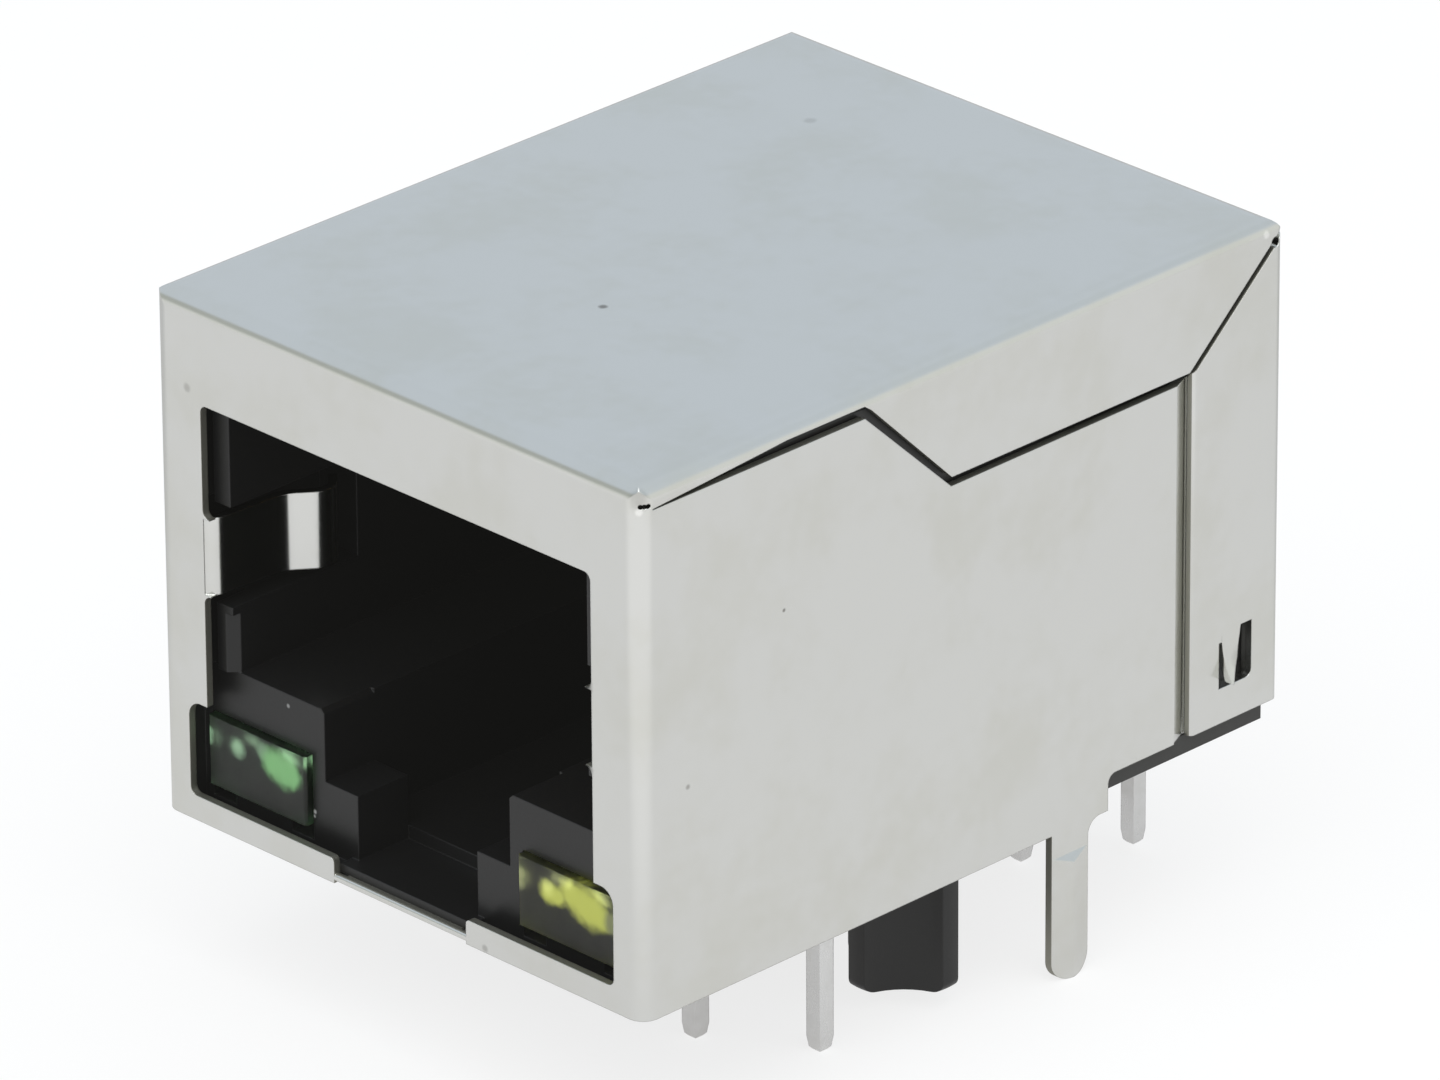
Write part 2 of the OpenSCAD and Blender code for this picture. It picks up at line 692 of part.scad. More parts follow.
module coil_tray() {
    color([0.15, 0.15, 0.16]) from_front() difference() {
        block([-tray_half_w, tray_y0, base_top], [tray_half_w, tray_y1, board_z]);
        for (i = [1 : 4]) {
            z = coil_z(i);
            translate([coil_side(i) * coil_x - pocket_w / 2, coil_y - winding_r, z - pocket / 2])
                cube([pocket_w, tray_y1, pocket]);
            for (end = [0, 1]) translate([coil_side(i) * wire_x(i, end), coil_y, z])
                cylinder(h = shell_h, d = wire_hole_d);
        }
    }
}

module coil_core(i) {
    color([0.25, 0.26, 0.28]) from_front() translate([coil_side(i) * coil_x, coil_y, coil_z(i)])
        rotate([90, 0, 0]) rotate_extrude() translate([coil_r, 0]) circle(core_r);
}

// One layer of enamelled wire round most of the core, with its two ends
module coil_winding(i) {
    span = 300;
    color([0.72, 0.38, 0.2]) from_front() {
        translate([coil_side(i) * coil_x, coil_y, coil_z(i)])
            rotate([90, 0, 0]) rotate([0, 0, 270 - span / 2 + 180])
            rotate_extrude(angle = span) translate([coil_r, 0]) difference() {
                circle(winding_r);
                circle(core_r + 0.01);
            }
        for (end = [0, 1]) {
            x = coil_side(i) * wire_x(i, end);
            near = coil_side(i) * (coil_x + (2 * end - 1) * (coil_r + winding_r / 2 + core_r / 2));
            translate([x, coil_y, coil_z(i)]) {
                sphere(d = wire_elbow_d);
                cylinder(h = board_z - coil_z(i), d = wire_d);
            }
            translate([min(x, near), coil_y, coil_z(i)])
                rotate([0, 90, 0]) cylinder(h = abs(x - near), d = wire_d);
        }
    }
}

module isolating_capacitor() {
    y = pin_row_y + pin_row_gap / 2;
    color([0.62, 0.5, 0.36]) from_front()
        translate([-capacitor[0] / 2, y - capacitor[1] / 2, board_z + board_t]) cube(capacitor);
}

module termination_resistor(i) {
    x = coil_side(i) * chip_x;
    y = chip_y + chip_step * coil_level(i);
    color([0.18, 0.18, 0.19]) from_front()
        translate([x - chip[0] / 2, y - chip[1] / 2, board_z + board_t]) cube(chip);
}

// ---- Lamps ---------------------------------------------------------------

// A lamp body for the right side, its front edges bevelled
module lamp_body() {
    x0 = lamp_half_x - lamp_w / 2;
    x1 = lamp_half_x + lamp_w / 2;
    bevel = 0.06;
    intersection() {
        block([x0, lamp_front, lamp_z], [x1, lamp_back, lamp_z + lamp_h]);
        on_plan(0, shell_h)
            polygon([[x0, lamp_front + bevel], [x0 + bevel, lamp_front], [x1 - bevel, lamp_front],
                     [x1, lamp_front + bevel], [x1, lamp_back], [x0, lamp_back]]);
    }
}

module green_lamp() { color([0.25, 0.55, 0.33]) from_front() mirror([1, 0, 0]) lamp_body(); }

module yellow_lamp() { color([0.62, 0.64, 0.3]) from_front() lamp_body(); }

// Leads 1 and 2 belong to the green lamp, 3 and 4 to the yellow one
module lamp_lead(i) {
    side = i > 2 ? 1 : -1;
    outer = i == 1 || i == 4;
    x = side * (lamp_half_x + (outer ? lead_half_gap : -lead_half_gap));
    y = outer ? lead_outer_y : lead_inner_y;
    color([0.8, 0.8, 0.78]) from_front() {
        w = lead_w / 2;
        block([x - w, lamp_back, lead_bend_z - w], [x + w, y + w, lead_bend_z + w]);
        translate([x, y, 0]) square_pin(lead_w, -tab_reach, lead_bend_z);
    }
}

// ---- Nodes ---------------------------------------------------------------

shield();
housing();
contact_carrier();
for (i = [1 : 8]) contact(i);
pin_base();
for (i = [1 : 8]) signal_pin(i);
inner_board();
coil_tray();
for (i = [1 : 4]) coil_core(i);
for (i = [1 : 4]) coil_winding(i);
isolating_capacitor();
for (i = [1 : 4]) termination_resistor(i);
green_lamp();
yellow_lamp();
for (i = [1 : 4]) lamp_lead(i);
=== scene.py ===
"""Looks of a shielded modular board jack, on a plain studio floor.

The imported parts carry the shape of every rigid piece. This script gives each one its finish, winds
the coils with real turns of wire, sets the lead frames into the clear lamp bodies, and lights the
jack in a pale studio. Lengths are in millimetres in the part's own frame, apart from those of the
floor and the lamps, which are in metres. Angles are in degrees.
"""

import json
import logging
import math
from dataclasses import dataclass
from enum import Enum

import bmesh
import bpy
from mathutils import Matrix, Vector


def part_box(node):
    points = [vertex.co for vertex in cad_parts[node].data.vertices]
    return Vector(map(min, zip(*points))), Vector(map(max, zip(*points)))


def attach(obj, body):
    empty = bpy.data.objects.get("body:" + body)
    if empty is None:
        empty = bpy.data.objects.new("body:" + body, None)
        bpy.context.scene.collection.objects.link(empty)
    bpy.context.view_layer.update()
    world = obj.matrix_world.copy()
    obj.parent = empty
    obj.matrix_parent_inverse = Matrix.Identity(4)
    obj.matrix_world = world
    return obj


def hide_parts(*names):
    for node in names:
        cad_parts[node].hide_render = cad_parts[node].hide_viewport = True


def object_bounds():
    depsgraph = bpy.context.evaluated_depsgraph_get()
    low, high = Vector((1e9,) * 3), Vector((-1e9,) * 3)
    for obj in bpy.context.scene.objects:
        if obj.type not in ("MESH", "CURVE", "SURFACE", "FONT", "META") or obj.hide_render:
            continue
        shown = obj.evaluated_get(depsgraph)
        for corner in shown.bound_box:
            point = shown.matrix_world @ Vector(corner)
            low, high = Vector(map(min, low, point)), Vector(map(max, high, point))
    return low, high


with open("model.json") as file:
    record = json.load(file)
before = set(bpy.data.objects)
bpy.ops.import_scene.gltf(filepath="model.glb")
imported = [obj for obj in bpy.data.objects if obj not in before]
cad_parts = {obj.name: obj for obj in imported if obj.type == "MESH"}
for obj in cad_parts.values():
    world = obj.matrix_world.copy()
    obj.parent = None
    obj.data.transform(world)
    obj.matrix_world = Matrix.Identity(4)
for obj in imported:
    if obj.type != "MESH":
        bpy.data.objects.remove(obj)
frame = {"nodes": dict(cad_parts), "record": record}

LOG = logging.getLogger("board_jack")
MM = 0.001
ROOT = "root"
CAD_LOW, CAD_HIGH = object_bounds()

# the shell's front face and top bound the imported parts, and its lock tongues stand out past its sides
FRONT_Y = CAD_LOW.y / MM
TOP_Z = CAD_HIGH.z / MM
HALF_WIDTH = 8.0
HOUSING_Y = FRONT_Y + 0.6

# folds of a piece that turn by more than this stay crisp
CREASE = 40.0

# numbers of the coils, as in their nodes' names
COILS = (1, 2, 3, 4)

Colour = tuple[float, float, float]
Point = tuple[float, float, float]
Span = tuple[float, float]
Socket = bpy.types.NodeSocket
Value = Socket | float | tuple[float, ...]
Inputs = dict[str | int, Value]

BLACK = (0.0, 0.0, 0.0)
WHITE = (1.0, 1.0, 1.0)


class Slot(Enum):
    """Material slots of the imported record."""

    SHIELD = "plated_shield"
    HOUSING = "black_plastic"
    INSERT = "insert_plastic"
    BASE = "base_plastic"
    CONTACT = "contact_metal"
    TINNED = "tinned_wire"
    FERRITE = "ferrite"
    ENAMEL = "enamelled_wire"
    LAMINATE = "board_laminate"
    CAPACITOR = "capacitor_body"
    RESISTOR = "resistor_body"
    GREEN = "green_lens"
    YELLOW = "yellow_lens"


def rgba(colour: Colour) -> tuple[float, float, float, float]:
    """Adds full opacity to a linear colour."""
    return (*colour, 1.0)


def node_box(node: str) -> tuple[Vector, Vector]:
    """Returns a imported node's lowest and highest corners in millimetres."""
    low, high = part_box(node)
    return low / MM, high / MM


# ---- Shader graphs ---------------------------------------------------------


class Graph:
    """A shader node tree that is filled one node at a time."""

    def __init__(self, tree: bpy.types.NodeTree) -> None:
        """Starts from an empty tree.

        Args:
            tree: The node tree to fill; its nodes are cleared.
        """
        self.tree = tree
        tree.nodes.clear()

    def add(self, kind: str, inputs: Inputs | None = None, **settings: object) -> bpy.types.Node:
        """Adds a node.

        Args:
            kind: Node type without its "ShaderNode" prefix, or a full type name for group ends.
            inputs: Values or sockets for its input sockets, by name or number.
            **settings: Properties set on the node itself.

        Returns:
            The new node.
        """
        full = kind if kind.startswith("Node") else "ShaderNode" + kind
        node = self.tree.nodes.new(full)
        for name, value in settings.items():
            setattr(node, name, value)
        for key, value in (inputs or {}).items():
            self.feed(node.inputs[key], value)
        return node

    def feed(self, socket: Socket, value: Value) -> None:
        """Links a socket to another one, or sets its plain value.

        Args:
            socket: The input socket.
            value: What it is linked to, or its value.
        """
        if isinstance(value, Socket):
            self.tree.links.new(value, socket)
        else:
            socket.default_value = value

    def math(self, operation: str, a: Value, b: Value = 0.0) -> Socket:
        """Returns the result of a Math node."""
        return self.add("Math", {0: a, 1: b}, operation=operation).outputs[0]

    def product(self, first: Value, *others: Value) -> Value:
        """Multiplies several values; of masks that is the part where all of them hold.

        Args:
            first: The first value.
            *others: The other values.

        Returns:
            The product.
        """
        for other in others:
            first = self.math("MULTIPLY", first, other)
        return first

    def within(self, value: Value, span: Span) -> Socket:
        """Returns the mask of where a value lies between two limits."""
        above = self.math("GREATER_THAN", value, span[0])
        return self.math("MULTIPLY", above, self.math("LESS_THAN", value, span[1]))

    def outside(self, mask: Value) -> Socket:
        """Returns the reverse of a mask."""
        return self.math("SUBTRACT", 1.0, mask)

    def ramp(self, value: Value, low: Value, high: Value, start: float = 0.0, end: float = 1.0) -> Socket:
        """Returns a smooth step from start to end as value goes from low to high."""
        inputs = {"Value": value, "From Min": low, "From Max": high, "To Min": start, "To Max": end}
        return self.add("MapRange", inputs, interpolation_type="SMOOTHSTEP").outputs["Result"]

    def mix(self, factor: Value, a: Value, b: Value) -> Socket:
        """Blends two colours.

        Args:
            factor: Share of the second colour.
            a: The first colour.
            b: The second colour.

        Returns:
            The blended colour.
        """
        node = self.add("Mix", data_type="RGBA")
        for number, value in ((0, factor), (6, a), (7, b)):
            self.feed(node.inputs[number], value)
        return node.outputs[2]

    def noise(self, vector: Value, scale: Value, detail: float = 2.0, rough: float = 0.5) -> Socket:
        """Returns the value of a Noise Texture."""
        inputs = {"Vector": vector, "Scale": scale, "Detail": detail, "Roughness": rough}
        return self.add("TexNoise", inputs).outputs["Fac"]

    def vector(self, operation: str, a: Value, b: Value) -> Socket:
        """Returns the number that a Vector Math node makes from two vectors."""
        return self.add("VectorMath", {0: a, 1: b}, operation=operation).outputs["Value"]

    def split(self, vector: Value) -> bpy.types.bpy_prop_collection:
        """Returns the X, Y and Z sockets of a vector."""
        return self.add("SeparateXYZ", {"Vector": vector}).outputs

    def millimetres(self, stretch: Point = (1.0, 1.0, 1.0)) -> Socket:
        """Reads the object's own coordinates.

        Args:
            stretch: How far a texture is drawn out along each axis.

        Returns:
            The coordinates in millimetres, divided by the stretch.
        """
        place = self.add("TexCoord").outputs["Object"]
        scale = tuple(1.0 / (MM * s) for s in stretch)
        return self.add("Mapping", {"Vector": place, "Scale": scale}).outputs["Vector"]


@dataclass(frozen=True)
class ShearedEdges:
    """Where the shell's sheet shows its cut thickness rather than its rolled skin.

    The walls and the lock window are spans along Y, the left ground finger and the window's height
    are spans along Z.
    """

    wall_depth: float = 0.215
    face_depth: float = 0.22
    tilt: float = 0.5
    walls: Span = (FRONT_Y + 0.5, FRONT_Y + 20.8)
    face_inset: float = 0.5
    below_fold: float = 12.95
    finger: Span = (5.99, 7.95)
    window: Span = (FRONT_Y + 18.9, FRONT_Y + 20.3)
    window_height: Span = (1.7, 3.4)

    def mask(self, graph: Graph, half_width: Value) -> Socket:
        """Marks the cut edges, but for those at the ground finger's root and round the lock window.

        Args:
            graph: The graph that the nodes are added to.
            half_width: Half the shell's width.

        Returns:
            The mask.
        """
        place = graph.split(graph.millimetres())
        facing = graph.split(graph.add("NewGeometry").outputs["True Normal"])
        inside = graph.math("SUBTRACT", half_width, graph.math("ABSOLUTE", place["X"]))
        at_finger = graph.product(
            graph.within(place["Z"], self.finger), graph.math("LESS_THAN", place["X"], 0.0))
        at_window = graph.product(
            graph.within(place["Y"], self.window), graph.within(place["Z"], self.window_height))
        wall = graph.product(
            graph.math("LESS_THAN", inside, self.wall_depth),
            graph.math("LESS_THAN", graph.math("ABSOLUTE", facing["X"]), self.tilt),
            graph.within(place["Y"], self.walls), graph.outside(at_window))
        face = graph.product(
            graph.math("LESS_THAN", place["Y"], FRONT_Y + self.face_depth),
            graph.math("LESS_THAN", graph.math("ABSOLUTE", facing["Y"]), self.tilt),
            graph.math("GREATER_THAN", inside, self.face_inset), graph.outside(at_finger))
        low_enough = graph.math("LESS_THAN", place["Z"], self.below_fold)
        return graph.product(graph.math("MAXIMUM", wall, face), low_enough)


class GroupKit:
    """Shared effects as node groups, each built once."""

    def __init__(self) -> None:
        """Builds every group."""
        self.edges = self._edges()
        self.mottle = self._mottle()
        self.spot = self._spot()
        self.cuts = self._cuts()

    @staticmethod
    def _group(name: str, inputs: Inputs,
               outputs: dict[str, str]) -> tuple[Graph, bpy.types.Node, bpy.types.Node]:
        """Makes an empty group with named sockets.

        Args:
            name: Name of the group.
            inputs: Default value of each input; a float or a vector.
            outputs: Socket type of each output.

        Returns:
            The graph, its input node and its output node.
        """
        tree = bpy.data.node_groups.new(name, "ShaderNodeTree")
        for key, value in inputs.items():
            kind = "NodeSocketVector" if isinstance(value, tuple) else "NodeSocketFloat"
            tree.interface.new_socket(name=key, in_out="INPUT", socket_type=kind).default_value = value
        for key, kind in outputs.items():
            tree.interface.new_socket(name=key, in_out="OUTPUT", socket_type=kind)
        graph = Graph(tree)
        return graph, graph.add("NodeGroupInput"), graph.add("NodeGroupOutput")

    def _edges(self) -> bpy.types.NodeTree:
        """Rounds sharp edges in the shading and marks where they are.

        Returns:
            The node group.
        """
        graph, start, end = self._group(
            "edge rounding", {"Radius": 0.04 * MM}, {"Normal": "NodeSocketVector", "Edge": "NodeSocketFloat"})
        rounded = graph.add("Bevel", {"Radius": start.outputs["Radius"]}, samples=6).outputs["Normal"]
        flat = graph.add("NewGeometry").outputs["True Normal"]
        graph.feed(end.inputs["Normal"], rounded)
        likeness = graph.vector("DOT_PRODUCT", rounded, flat)
        graph.feed(end.inputs["Edge"], graph.ramp(likeness, low=0.995, high=0.8))
        return graph.tree

    def _mottle(self) -> bpy.types.NodeTree:
        """Broad soft patches with a finer breakup inside them.

        Returns:
            The node group.
        """
        graph, start, end = self._group(
            "mottle", {"Size": 3.0, "Low": 0.4, "High": 0.7}, {"Mask": "NodeSocketFloat"})
        place = graph.millimetres()
        broad = graph.noise(place, graph.math("DIVIDE", 1.0, start.outputs["Size"]), detail=3.0, rough=0.55)
        fine = graph.noise(place, scale=2.3, detail=4.0, rough=0.6)
        broad_share, fine_share = 0.8, 0.2
        both = graph.math(
            "ADD", graph.math("MULTIPLY", broad, broad_share), graph.math("MULTIPLY", fine, fine_share))
        graph.feed(end.inputs["Mask"], graph.ramp(both, start.outputs["Low"], start.outputs["High"]))
        return graph.tree

    def _spot(self) -> bpy.types.NodeTree:
        """One soft spot with an uneven outline, at a place given in millimetres.

        Returns:
            The node group.
        """
        graph, start, end = self._group(
            "spot", {"Centre": (0.0, 0.0, 0.0), "Radius": 0.2}, {"Mask": "NodeSocketFloat"})
        place = graph.millimetres()
        unevenness = 0.35
        wobble = graph.math("MULTIPLY", graph.noise(place, scale=6.0), unevenness)
        away = graph.vector("DISTANCE", place, start.outputs["Centre"])
        share = graph.math("ADD", graph.math("DIVIDE", away, start.outputs["Radius"]), wobble)
        graph.feed(end.inputs["Mask"], graph.ramp(share, low=1.15, high=0.45))
        return graph.tree

    def _cuts(self) -> bpy.types.NodeTree:
        """Sheared edges of the shell's side walls and front face.

        Returns:
            The node group.
        """
        graph, start, end = self._group(
            "sheared edges", {"Half Width": HALF_WIDTH}, {"Mask": "NodeSocketFloat"})
        graph.feed(end.inputs["Mask"], ShearedEdges().mask(graph, start.outputs["Half Width"]))
        return graph.tree


class Material:
    """A material being built: its graph, its Principled shader and the shared groups."""

    def __init__(self, slot: Slot, kit: GroupKit, plain: Inputs) -> None:
        """Makes the material with a Principled shader.

        Args:
            slot: Slot of the record that it finishes.
            kit: Shared node groups.
            plain: Plain values of the shader's sockets.
        """
        self.kit = kit
        self.data = bpy.data.materials.new("jack_" + slot.value)
        self.data.use_nodes = True
        self.graph = Graph(self.data.node_tree)
        self.shader = self.graph.add("BsdfPrincipled", plain)
        self.graph.add("OutputMaterial", {"Surface": self.shader.outputs["BSDF"]})

    def group(self, tree: bpy.types.NodeTree, inputs: Inputs | None = None) -> bpy.types.Node:
        """Places a shared group in the material.

        Args:
            tree: The node group.
            inputs: Values or sockets for its inputs, by name.

        Returns:
            The group's node.
        """
        node = self.graph.add("Group", node_tree=tree)
        for name, value in (inputs or {}).items():
            self.graph.feed(node.inputs[name], value)
        return node

    def feed(self, name: str, value: Value) -> None:
        """Feeds a socket of the Principled shader."""
        self.graph.feed(self.shader.inputs[name], value)

    def patches(self, size: float, low: float, high: float) -> Socket:
        """Returns the mask of the shared mottle, with patches of a size in millimetres."""
        return self.group(self.kit.mottle, {"Size": size, "Low": low, "High": high}).outputs["Mask"]

    def spot(self, centre: Point, radius: float) -> Socket:
        """Returns the mask of one shared soft spot."""
        return self.group(self.kit.spot, {"Centre": centre, "Radius": radius}).outputs["Mask"]

    def edges(self, radius: float) -> bpy.types.bpy_prop_collection:
        """Returns the Normal and Edge sockets of the shared edge rounding, for a radius in millimetres."""
        return self.group(self.kit.edges, {"Radius": radius * MM}).outputs

    def bump(self, height: Value, depth: float, normal: Value) -> None:
        """Feeds the shader's normal from a height times a depth in millimetres."""
        inputs = {"Height": height, "Distance": depth * MM, "Normal": normal}
        self.feed("Normal", self.graph.add("Bump", inputs).outputs["Normal"])


# ---- Finishes ----------------------------------------------------------------


@dataclass(frozen=True)
class SpeckOrPaintedLight:
    """A small mark on a finish, either a speck or a spot of painted highlight or painted shade: where it is,
    how far it reaches, how strong it is, and its tone.
    """

    centre: Point
    radius: float
    strength: float
    tone: Colour = (0.16, 0.15, 0.13)

    def over(self, made: Material, colour: Value) -> Socket:
        """Returns the colour with this mark on it."""
        mask = made.graph.math("MULTIPLY", made.spot(self.centre, self.radius), self.strength)
        return made.graph.mix(mask, colour, rgba(self.tone))


@dataclass(frozen=True)
class Plating:
    """Bright tin plating on rolled sheet, with faint clouds where it has been handled."""

    colour: Colour
    stain: Colour
    roughness: float
    specks_and_painted_light: tuple[SpeckOrPaintedLight, ...] = ()
    edge_radius: float = 0.05
    lengthwise: Point = (1.0, 9.0, 1.0)
    sheared: Colour = (0.36, 0.355, 0.31)
    sheared_roughness: float = 0.55
    cloud_size: float = 3.4
    cloud: float = 0.75
    cloud_roughness: float = 0.04
    rolling: float = 0.03
    rolling_height: float = 0.002
    wave_height: float = 0.03

    def build(self, slot: Slot, kit: GroupKit) -> bpy.types.Material:
        """Builds the material.

        Args:
            slot: Slot that it finishes.
            kit: Shared node groups.

        Returns:
            The Blender material.
        """
        made = Material(slot, kit, {"Metallic": 1.0})
        graph = made.graph
        clouds = made.patches(self.cloud_size, low=0.42, high=0.68)
        colour = graph.mix(graph.math("MULTIPLY", clouds, self.cloud), rgba(self.colour), rgba(self.stain))
        # specks, painted shade and painted highlights go onto the plating's colour
        for mark in self.specks_and_painted_light:
            colour = mark.over(made, colour)
        cut = made.group(kit.cuts).outputs["Mask"]
        made.feed("Base Color", graph.mix(cut, colour, rgba(self.sheared)))
        rolled = graph.noise(graph.millimetres(self.lengthwise), scale=9.0)
        rough = graph.math("ADD", graph.math("MULTIPLY", rolled, self.rolling), self.roughness)
        rough = graph.math("ADD", rough, graph.math("MULTIPLY", clouds, self.cloud_roughness))
        torn = graph.math("MULTIPLY", cut, self.sheared_roughness)
        made.feed("Roughness", graph.math("MAXIMUM", rough, torn))
        waves = graph.noise(graph.millimetres(), scale=0.35, detail=1.0)
        height = graph.math("ADD", waves, graph.math("MULTIPLY", rolled, self.rolling_height))
        made.bump(height, self.wave_height, made.edges(self.edge_radius)["Normal"])
        return made.data


@dataclass(frozen=True)
class Moulding:
    """Black moulded plastic with a fine satin grain, rubbed edges, a few pale specks and a few painted
    glints.
    """

    colour: Colour
    roughness: float
    specks: tuple[SpeckOrPaintedLight, ...] = ()
    veil: float = 0.0058
    veil_colour: Colour = (1.0, 1.0, 0.92)
    patch_size: float = 1.8
    fading: float = 1.35
    faded_share: float = 0.6
    edge_radius: float = 0.05
    edge_lift: float = 0.012
    rubbed_share: float = 0.5
    grain_height: float = 0.003
    grain_roughness: float = 0.16

    def build(self, slot: Slot, kit: GroupKit) -> bpy.types.Material:
        """Builds the material.

        Args:
            slot: Slot that it finishes.
            kit: Shared node groups.

        Returns:
            The Blender material.
        """
        # a faint veil of stray light keeps the deep cavity from going fully black
        made = Material(slot, kit, {"Metallic": 0.0, "Specular IOR Level": 0.5,
                                    "Emission Color": rgba(self.veil_colour), "Emission Strength": self.veil})
        graph = made.graph
        edges = made.edges(self.edge_radius)
        faded = tuple(c * self.fading for c in self.colour)
        rubbed = tuple(c + self.edge_lift for c in self.colour)
        patches = made.patches(self.patch_size, low=0.35, high=0.75)
        share = graph.math("MULTIPLY", patches, self.faded_share)
        colour = graph.mix(share, rgba(self.colour), rgba(faded))
        share = graph.math("MULTIPLY", edges["Edge"], self.rubbed_share)
        colour = graph.mix(share, colour, rgba(rubbed))
        for speck in self.specks:
            colour = speck.over(made, colour)
        made.feed("Base Color", colour)
        grain = graph.noise(graph.millimetres(), scale=22.0, detail=3.0, rough=0.65)
        spread = graph.math("MULTIPLY", grain, self.grain_roughness)
        made.feed("Roughness", graph.math("ADD", spread, self.roughness - self.grain_roughness / 2))
        made.bump(grain, self.grain_height, edges["Normal"])
        return made.data


@dataclass(frozen=True)
class Glint:
    """A painted glow on the front of a lamp that stands in for the soft light of its lead frame, placed from
    the lamp's lower left corner.
    """

    across: float
    up: float
    radius: float
    glow: Colour


@dataclass(frozen=True)
class Resin:
    """Clear tinted resin of a lamp body, with a painted glow in its front that stands in for the soft light
    of its reflector cup.
    """

    colour: Colour
    lamp: str
    glints: tuple[Glint, ...]
    roughness: float = 0.38
    haze_size: float = 0.8
    haze_roughness: float = 0.04
    deepening: float = 0.8
    edge_radius: float = 0.05
    swell_height: float = 0.02

    def build(self, slot: Slot, kit: GroupKit) -> bpy.types.Material:
        """Builds the material.

        Args:
            slot: Slot that it finishes.
            kit: Shared node groups.

        Returns:
            The Blender material.
        """
        made = Material(slot, kit, {
            "Metallic": 0.0, "Transmission Weight": 1.0, "IOR": 1.5, "Emission Strength": 1.0})
        graph = made.graph
        corner, _ = node_box(self.lamp)
        # the glints are painted light: they glow as emission in the resin's front
        shine: Value = rgba(BLACK)
        for glint in self.glints:
            centre = (corner.x + glint.across, corner.y, corner.z + glint.up)
            shine = graph.mix(made.spot(centre, glint.radius), shine, rgba(glint.glow))
        made.feed("Emission Color", shine)
        haze = made.patches(self.haze_size, low=0.3, high=0.8)
        deep = tuple(c * self.deepening for c in self.colour)
        made.feed("Base Color", graph.mix(haze, rgba(self.colour), rgba(deep)))
        spread = graph.math("MULTIPLY", haze, self.haze_roughness)
        made.feed("Roughness", graph.math("ADD", spread, self.roughness))
        swell = graph.noise(graph.millimetres(), scale=1.2)
        made.bump(swell, self.swell_height, made.edges(self.edge_radius)["Normal"])
        return made.data


@dataclass(frozen=True)
class Metal:
    """Small drawn or stamped metal parts: pins, leads and contacts."""

    colour: Colour
    dull: Colour
    roughness: float
    lengthwise: Point = (1.0, 1.0, 8.0)
    edge_radius: float = 0.05
    stain_size: float = 0.9
    staining: float = 0.6
    polish: float = 0.05
    drawing_height: float = 0.006
    drawing_roughness: float = 0.14
    dull_roughness: float = 0.08

    def build(self, slot: Slot, kit: GroupKit) -> bpy.types.Material:
        """Builds the material.

        Args:
            slot: Slot that it finishes.
            kit: Shared node groups.

        Returns:
            The Blender material.
        """
        made = Material(slot, kit, {"Metallic": 1.0})
        graph = made.graph
        stains = made.patches(self.stain_size, low=0.42, high=0.7)
        share = graph.math("MULTIPLY", stains, self.staining)
        made.feed("Base Color", graph.mix(share, rgba(self.colour), rgba(self.dull)))
        drawn = graph.noise(graph.millimetres(self.lengthwise), scale=16.0, detail=3.0)
        spread = graph.math("MULTIPLY", drawn, self.drawing_roughness)
        rough = graph.math("ADD", spread, self.roughness - self.polish)
        made.feed("Roughness", graph.math("ADD", rough, graph.math("MULTIPLY", stains, self.dull_roughness)))
        made.bump(drawn, self.drawing_height, made.edges(self.edge_radius)["Normal"])
        return made.data


@dataclass(frozen=True)
class Coated:
    """A coated or glazed body: core, chip, enamel or laminate."""

    colour: Colour
    second: Colour
    roughness: float
    coat: float = 0.0
    grain_pitch: float = 0.3
    weave: bool = False
    patch_size: float = 0.7
    edge_radius: float = 0.04
    grain_height: float = 0.008
    grain_roughness: float = 0.1

    def build(self, slot: Slot, kit: GroupKit) -> bpy.types.Material:
        """Builds the material.

        Args:
            slot: Slot that it finishes.
            kit: Shared node groups.

        Returns:
            The Blender material.
        """
        made = Material(slot, kit, {"Metallic": 0.0, "Coat Roughness": 0.12})
        graph = made.graph
        patches = made.patches(self.patch_size, low=0.35, high=0.7)
        made.feed("Base Color", graph.mix(patches, rgba(self.colour), rgba(self.second)))
        if self.coat:
            # the coat is at two thirds of its weight between the patches
            made.feed("Coat Weight", graph.math("MULTIPLY", graph.math("ADD", patches, 2.0), self.coat / 3.0))
        grain = graph.noise(graph.millimetres(), scale=1.0 / self.grain_pitch, detail=4.0, rough=0.6)
        if self.weave:
            grain = graph.math("ADD", grain, self._cloth(graph))
        spread = graph.math("MULTIPLY", grain, self.grain_roughness)
        made.feed("Roughness", graph.math("ADD", spread, self.roughness))
        made.bump(grain, self.grain_height, made.edges(self.edge_radius)["Normal"])
        return made.data

    @staticmethod
    def _cloth(graph: Graph) -> Socket:
        """Weaves the glass cloth that shows through a laminate.

        Args:
            graph: The graph that the nodes are added to.

        Returns:
            The height of the weave.
        """
        place = {"Vector": graph.millimetres(), "Scale": 2.6, "Distortion": 0.4}
        warp, weft = (graph.add("TexWave", place, bands_direction=way).outputs["Fac"] for way in "XY")
        return graph.math("MULTIPLY", warp, weft)
